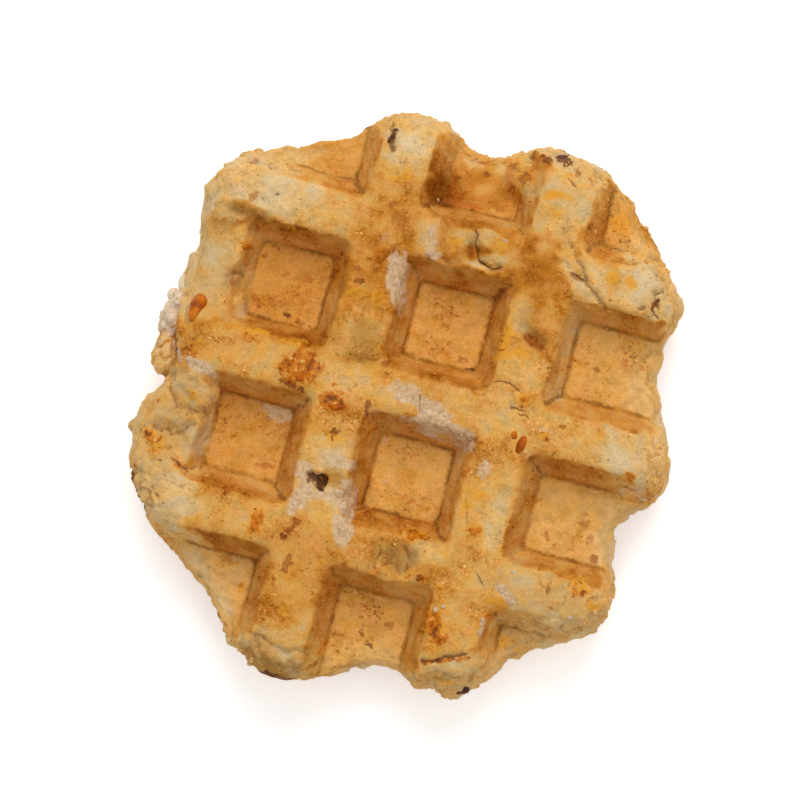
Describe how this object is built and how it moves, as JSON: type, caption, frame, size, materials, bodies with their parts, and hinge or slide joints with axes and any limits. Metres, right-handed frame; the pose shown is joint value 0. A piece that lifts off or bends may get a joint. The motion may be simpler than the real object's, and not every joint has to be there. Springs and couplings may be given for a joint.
{
  "type": "liege waffle",
  "caption": "Thick, uneven round sugar waffle with a grid of deep square pockets on both faces and rounded rib ends at the rim.",
  "frame": {"origin": "below the middle of the waffle, on the plane of the lower ribs' faces that it rests on", "axes": "+X along the cross ribs, +Y along the upright ribs, +Z out of the better-browned upper face"},
  "size_m": [0.0933, 0.1016, 0.0222],
  "materials": {
    "baked_dough": "matte",
    "pearl_sugar": "satin",
    "caramel": "gloss",
    "burnt_crumb": "matte"
  },
  "bodies": {
    "root": {"waffle": "baked_dough"}
  },
  "joints": []
}
